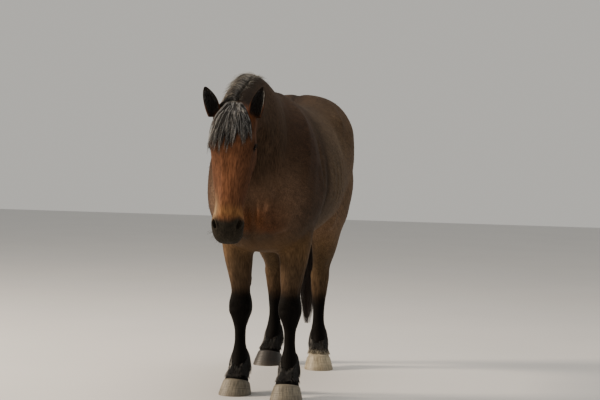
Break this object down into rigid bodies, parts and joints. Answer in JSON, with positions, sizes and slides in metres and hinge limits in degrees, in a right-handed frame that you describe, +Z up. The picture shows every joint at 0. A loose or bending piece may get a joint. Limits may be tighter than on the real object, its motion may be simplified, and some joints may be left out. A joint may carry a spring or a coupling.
{
  "type": "draft cross horse, still life-size model",
  "caption": "Still life-size model of a bay roan draft cross horse standing at rest, with mane, forelock, tail and feathered feet.",
  "frame": {"origin": "on the floor under the middle of the horse's bounding box", "axes": "+Z up, the horse faces -Y, +X is the horse's left side"},
  "size_m": [0.6926, 2.406, 1.7521],
  "materials": {
    "bay_coat": "short fur",
    "black_points": "short fur",
    "mane_hair": "long hair",
    "tail_hair": "long hair",
    "pale_horn": "worn horn",
    "dark_horn": "worn horn",
    "eye": "wet"
  },
  "bodies": {
    "root": {"torso": "bay_coat", "neck": "bay_coat", "head": "bay_coat", "ear_left": "black_points", "ear_right": "black_points", "eye_left": "eye", "eye_right": "eye", "mane": "mane_hair", "forelock": "mane_hair", "tail": "tail_hair", "front_leg_left": "black_points", "front_leg_right": "black_points", "hind_leg_left": "black_points", "hind_leg_right": "black_points", "front_hoof_left": "pale_horn", "front_hoof_right": "pale_horn", "hind_hoof_left": "pale_horn", "hind_hoof_right": "dark_horn"}
  },
  "joints": []
}
